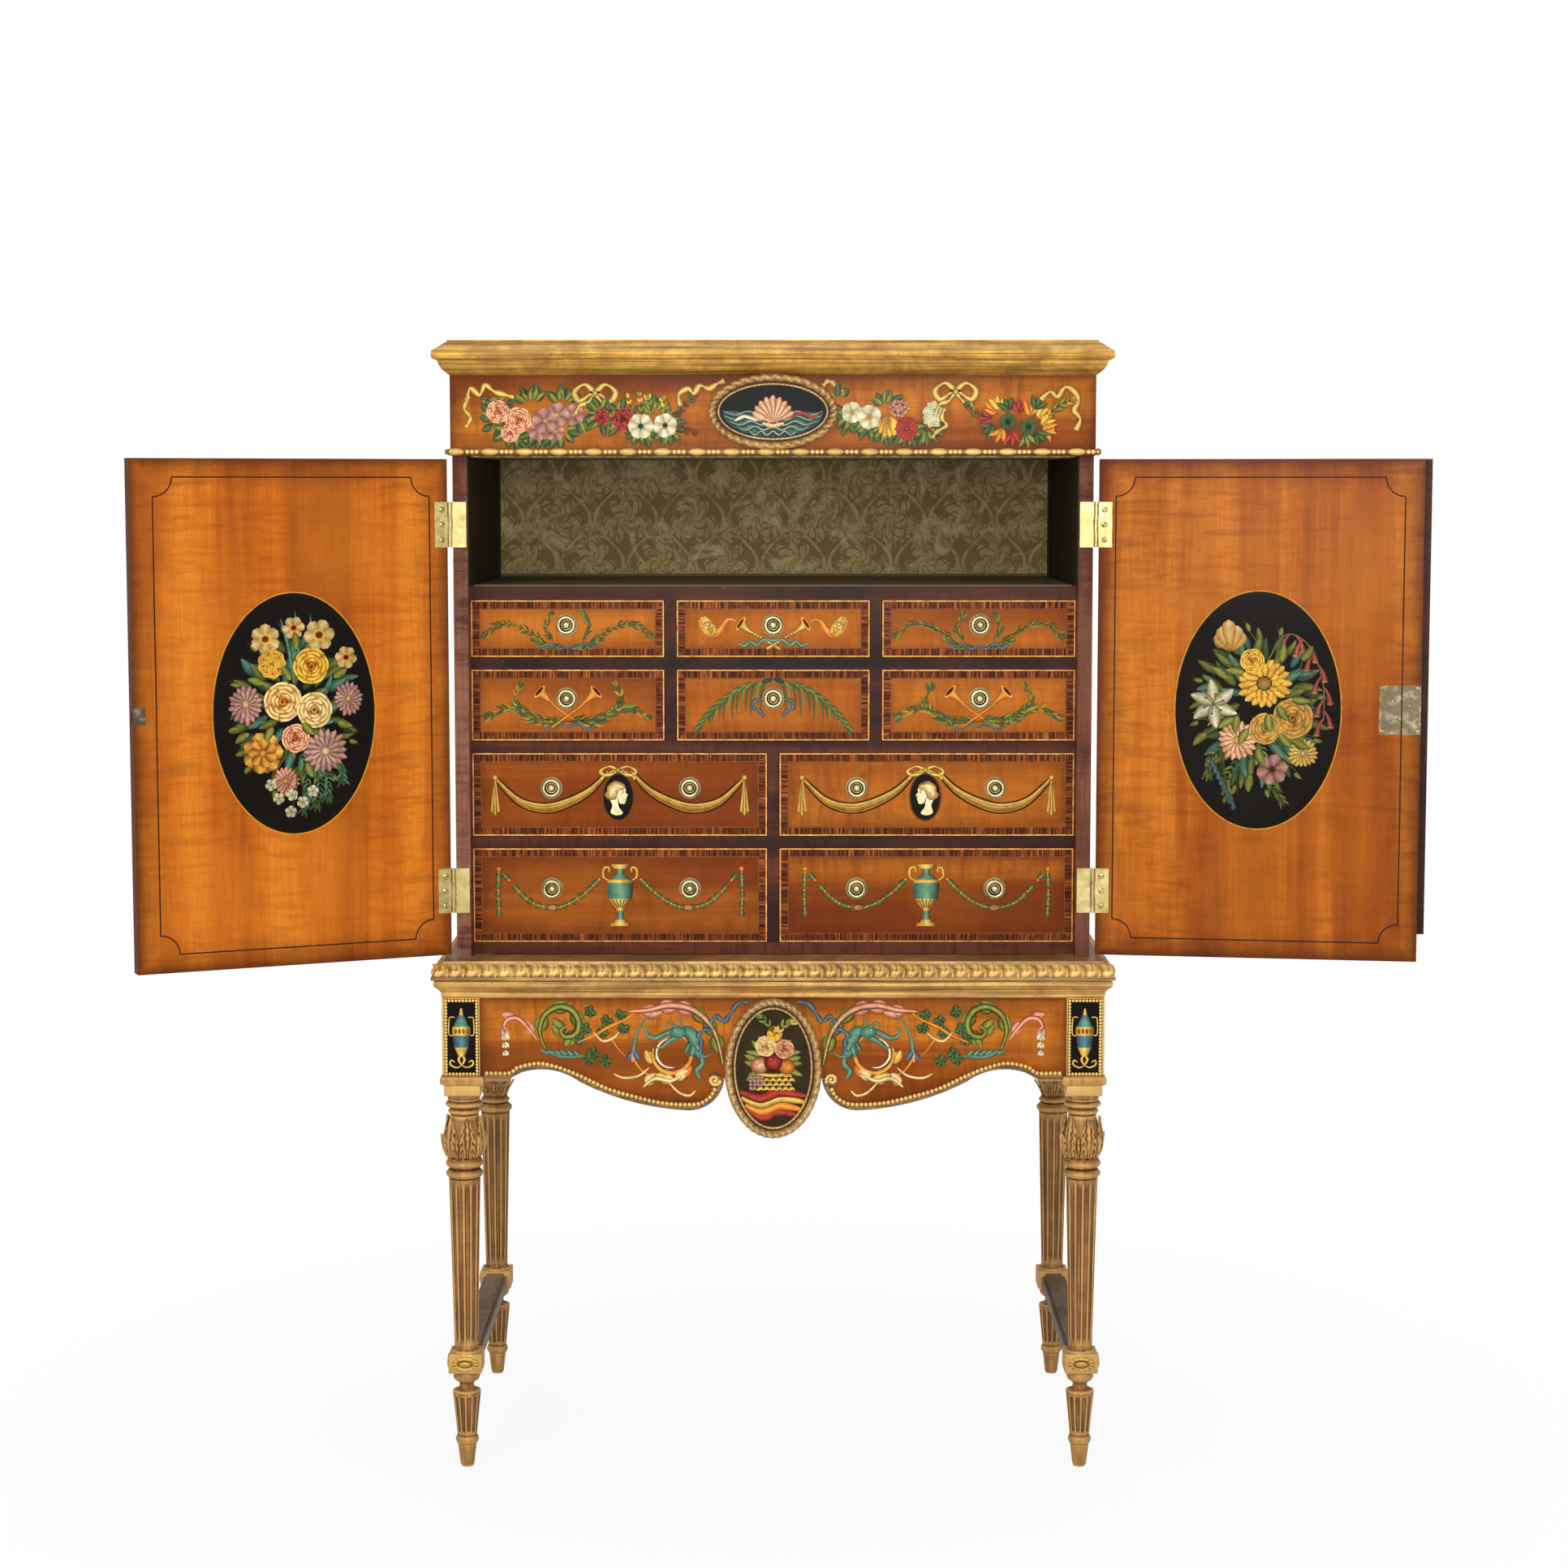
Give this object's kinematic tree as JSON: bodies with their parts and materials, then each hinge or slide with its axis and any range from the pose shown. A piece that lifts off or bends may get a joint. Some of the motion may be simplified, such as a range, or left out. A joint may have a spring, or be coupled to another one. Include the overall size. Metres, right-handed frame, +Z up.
{
  "type": "painted cabinet on stand",
  "caption": "Painted satinwood cabinet on a gilt stand, with a lined compartment and rows of drawers behind two hinged doors.",
  "frame": {"origin": "on the floor, midway between the four legs", "axes": "+Z up, -Y out of the cabinet's front, +X to the right of someone who faces the front"},
  "size_m": [1.6902, 0.6372, 1.518],
  "materials": {
    "gilt_wood": "worn gilding",
    "satinwood": "varnished",
    "mahogany": "waxed",
    "damask_lining": "silk damask",
    "medallion": "painted and gilt",
    "brass": "lacquered"
  },
  "bodies": {
    "cabinet": {"carcase_sides": "satinwood", "carcase_boards": "mahogany", "carcase_back": "mahogany", "compartment_lining": "damask_lining", "drawer_dividers": "mahogany", "frieze_board": "satinwood", "frieze_bead_strip": "gilt_wood", "cornice": "gilt_wood", "base_moulding": "gilt_wood", "stand_moulding": "gilt_wood", "front_legs": "gilt_wood", "back_legs": "gilt_wood", "side_stretchers": "mahogany", "apron_front": "satinwood", "apron_sides_and_back": "satinwood", "apron_bead_moulding": "gilt_wood", "oval_medallions": "medallion", "carcase_hinge_leaves": "brass"},
    "left_door": {"door_left": "satinwood", "door_left_hinge_leaves": "brass", "lock_keep": "brass"},
    "right_door": {"door_right": "satinwood", "door_right_hinge_leaves": "brass", "lock_case": "brass", "cover_strip": "satinwood"},
    "lock_bolt_body": {"lock_bolt": "brass"},
    "drawer_row_one_left": {"drawer_row_one_left": "satinwood", "pull_plates_row_one_left": "brass"},
    "ring_row_one_left": {"pull_ring_row_one_left": "brass"},
    "drawer_row_one_middle": {"drawer_row_one_middle": "satinwood", "pull_plates_row_one_middle": "brass"},
    "ring_row_one_middle": {"pull_ring_row_one_middle": "brass"},
    "drawer_row_one_right": {"drawer_row_one_right": "satinwood", "pull_plates_row_one_right": "brass"},
    "ring_row_one_right": {"pull_ring_row_one_right": "brass"},
    "drawer_row_two_left": {"drawer_row_two_left": "satinwood", "pull_plates_row_two_left": "brass"},
    "ring_row_two_left": {"pull_ring_row_two_left": "brass"},
    "drawer_row_two_middle": {"drawer_row_two_middle": "satinwood", "pull_plates_row_two_middle": "brass"},
    "ring_row_two_middle": {"pull_ring_row_two_middle": "brass"},
    "drawer_row_two_right": {"drawer_row_two_right": "satinwood", "pull_plates_row_two_right": "brass"},
    "ring_row_two_right": {"pull_ring_row_two_right": "brass"},
    "drawer_row_three_left": {"drawer_row_three_left": "satinwood", "pull_plates_row_three_left": "brass"},
    "ring_row_three_left_left": {"pull_ring_row_three_left_left": "brass"},
    "ring_row_three_left_right": {"pull_ring_row_three_left_right": "brass"},
    "drawer_row_three_right": {"drawer_row_three_right": "satinwood", "pull_plates_row_three_right": "brass"},
    "ring_row_three_right_left": {"pull_ring_row_three_right_left": "brass"},
    "ring_row_three_right_right": {"pull_ring_row_three_right_right": "brass"},
    "drawer_row_four_left": {"drawer_row_four_left": "satinwood", "pull_plates_row_four_left": "brass"},
    "ring_row_four_left_left": {"pull_ring_row_four_left_left": "brass"},
    "ring_row_four_left_right": {"pull_ring_row_four_left_right": "brass"},
    "drawer_row_four_right": {"drawer_row_four_right": "satinwood", "pull_plates_row_four_right": "brass"},
    "ring_row_four_right_left": {"pull_ring_row_four_right_left": "brass"},
    "ring_row_four_right_right": {"pull_ring_row_four_right_right": "brass"}
  },
  "joints": [
    {"name": "left_door_hinge", "type": "hinge", "parent": "cabinet", "child": "left_door", "pos_m": [-0.4286, -0.2095, 1.0314], "axis": [0, 0, -1], "range_deg": [-155, 25]},
    {"name": "right_door_hinge", "type": "hinge", "parent": "cabinet", "child": "right_door", "pos_m": [0.4286, -0.2095, 1.0314], "axis": [0, 0, 1], "range_deg": [-171, 9]},
    {"name": "lock_bolt_slide", "type": "slide", "parent": "right_door", "child": "lock_bolt_body", "axis": [0.9877, -0.1564, 0], "range_m": [0, 0.008]},
    {"name": "drawer_row_one_left_slide", "type": "slide", "parent": "cabinet", "child": "drawer_row_one_left", "axis": [0, -1, 0], "range_m": [0, 0.28]},
    {"name": "pull_ring_row_one_left_hinge", "type": "hinge", "parent": "drawer_row_one_left", "child": "ring_row_one_left", "pos_m": [-0.2775, -0.1848, 1.15159], "axis": [-1, 0, 0], "range_deg": [0, 95]},
    {"name": "drawer_row_one_middle_slide", "type": "slide", "parent": "cabinet", "child": "drawer_row_one_middle", "axis": [0, -1, 0], "range_m": [0, 0.28]},
    {"name": "pull_ring_row_one_middle_hinge", "type": "hinge", "parent": "drawer_row_one_middle", "child": "ring_row_one_middle", "pos_m": [0, -0.1848, 1.15159], "axis": [-1, 0, 0], "range_deg": [0, 95]},
    {"name": "drawer_row_one_right_slide", "type": "slide", "parent": "cabinet", "child": "drawer_row_one_right", "axis": [0, -1, 0], "range_m": [0, 0.28]},
    {"name": "pull_ring_row_one_right_hinge", "type": "hinge", "parent": "drawer_row_one_right", "child": "ring_row_one_right", "pos_m": [0.2775, -0.1848, 1.15159], "axis": [-1, 0, 0], "range_deg": [0, 95]},
    {"name": "drawer_row_two_left_slide", "type": "slide", "parent": "cabinet", "child": "drawer_row_two_left", "axis": [0, -1, 0], "range_m": [0, 0.28]},
    {"name": "pull_ring_row_two_left_hinge", "type": "hinge", "parent": "drawer_row_two_left", "child": "ring_row_two_left", "pos_m": [-0.2775, -0.1848, 1.05284], "axis": [-1, 0, 0], "range_deg": [0, 95]},
    {"name": "drawer_row_two_middle_slide", "type": "slide", "parent": "cabinet", "child": "drawer_row_two_middle", "axis": [0, -1, 0], "range_m": [0, 0.28]},
    {"name": "pull_ring_row_two_middle_hinge", "type": "hinge", "parent": "drawer_row_two_middle", "child": "ring_row_two_middle", "pos_m": [0, -0.1848, 1.05284], "axis": [-1, 0, 0], "range_deg": [0, 95]},
    {"name": "drawer_row_two_right_slide", "type": "slide", "parent": "cabinet", "child": "drawer_row_two_right", "axis": [0, -1, 0], "range_m": [0, 0.28]},
    {"name": "pull_ring_row_two_right_hinge", "type": "hinge", "parent": "drawer_row_two_right", "child": "ring_row_two_right", "pos_m": [0.2775, -0.1848, 1.05284], "axis": [-1, 0, 0], "range_deg": [0, 95]},
    {"name": "drawer_row_three_left_slide", "type": "slide", "parent": "cabinet", "child": "drawer_row_three_left", "axis": [0, -1, 0], "range_m": [0, 0.28]},
    {"name": "pull_ring_row_three_left_left_hinge", "type": "hinge", "parent": "drawer_row_three_left", "child": "ring_row_three_left_left", "pos_m": [-0.299, -0.1848, 0.93209], "axis": [-1, 0, 0], "range_deg": [0, 95]},
    {"name": "pull_ring_row_three_left_right_hinge", "type": "hinge", "parent": "drawer_row_three_left", "child": "ring_row_three_left_right", "pos_m": [-0.1125, -0.1848, 0.93209], "axis": [-1, 0, 0], "range_deg": [0, 95]},
    {"name": "drawer_row_three_right_slide", "type": "slide", "parent": "cabinet", "child": "drawer_row_three_right", "axis": [0, -1, 0], "range_m": [0, 0.28]},
    {"name": "pull_ring_row_three_right_left_hinge", "type": "hinge", "parent": "drawer_row_three_right", "child": "ring_row_three_right_left", "pos_m": [0.1125, -0.1848, 0.93209], "axis": [-1, 0, 0], "range_deg": [0, 95]},
    {"name": "pull_ring_row_three_right_right_hinge", "type": "hinge", "parent": "drawer_row_three_right", "child": "ring_row_three_right_right", "pos_m": [0.299, -0.1848, 0.93209], "axis": [-1, 0, 0], "range_deg": [0, 95]},
    {"name": "drawer_row_four_left_slide", "type": "slide", "parent": "cabinet", "child": "drawer_row_four_left", "axis": [0, -1, 0], "range_m": [0, 0.28]},
    {"name": "pull_ring_row_four_left_left_hinge", "type": "hinge", "parent": "drawer_row_four_left", "child": "ring_row_four_left_left", "pos_m": [-0.299, -0.1848, 0.79534], "axis": [-1, 0, 0], "range_deg": [0, 95]},
    {"name": "pull_ring_row_four_left_right_hinge", "type": "hinge", "parent": "drawer_row_four_left", "child": "ring_row_four_left_right", "pos_m": [-0.1125, -0.1848, 0.79534], "axis": [-1, 0, 0], "range_deg": [0, 95]},
    {"name": "drawer_row_four_right_slide", "type": "slide", "parent": "cabinet", "child": "drawer_row_four_right", "axis": [0, -1, 0], "range_m": [0, 0.28]},
    {"name": "pull_ring_row_four_right_left_hinge", "type": "hinge", "parent": "drawer_row_four_right", "child": "ring_row_four_right_left", "pos_m": [0.1125, -0.1848, 0.79534], "axis": [-1, 0, 0], "range_deg": [0, 95]},
    {"name": "pull_ring_row_four_right_right_hinge", "type": "hinge", "parent": "drawer_row_four_right", "child": "ring_row_four_right_right", "pos_m": [0.299, -0.1848, 0.79534], "axis": [-1, 0, 0], "range_deg": [0, 95]}
  ]
}
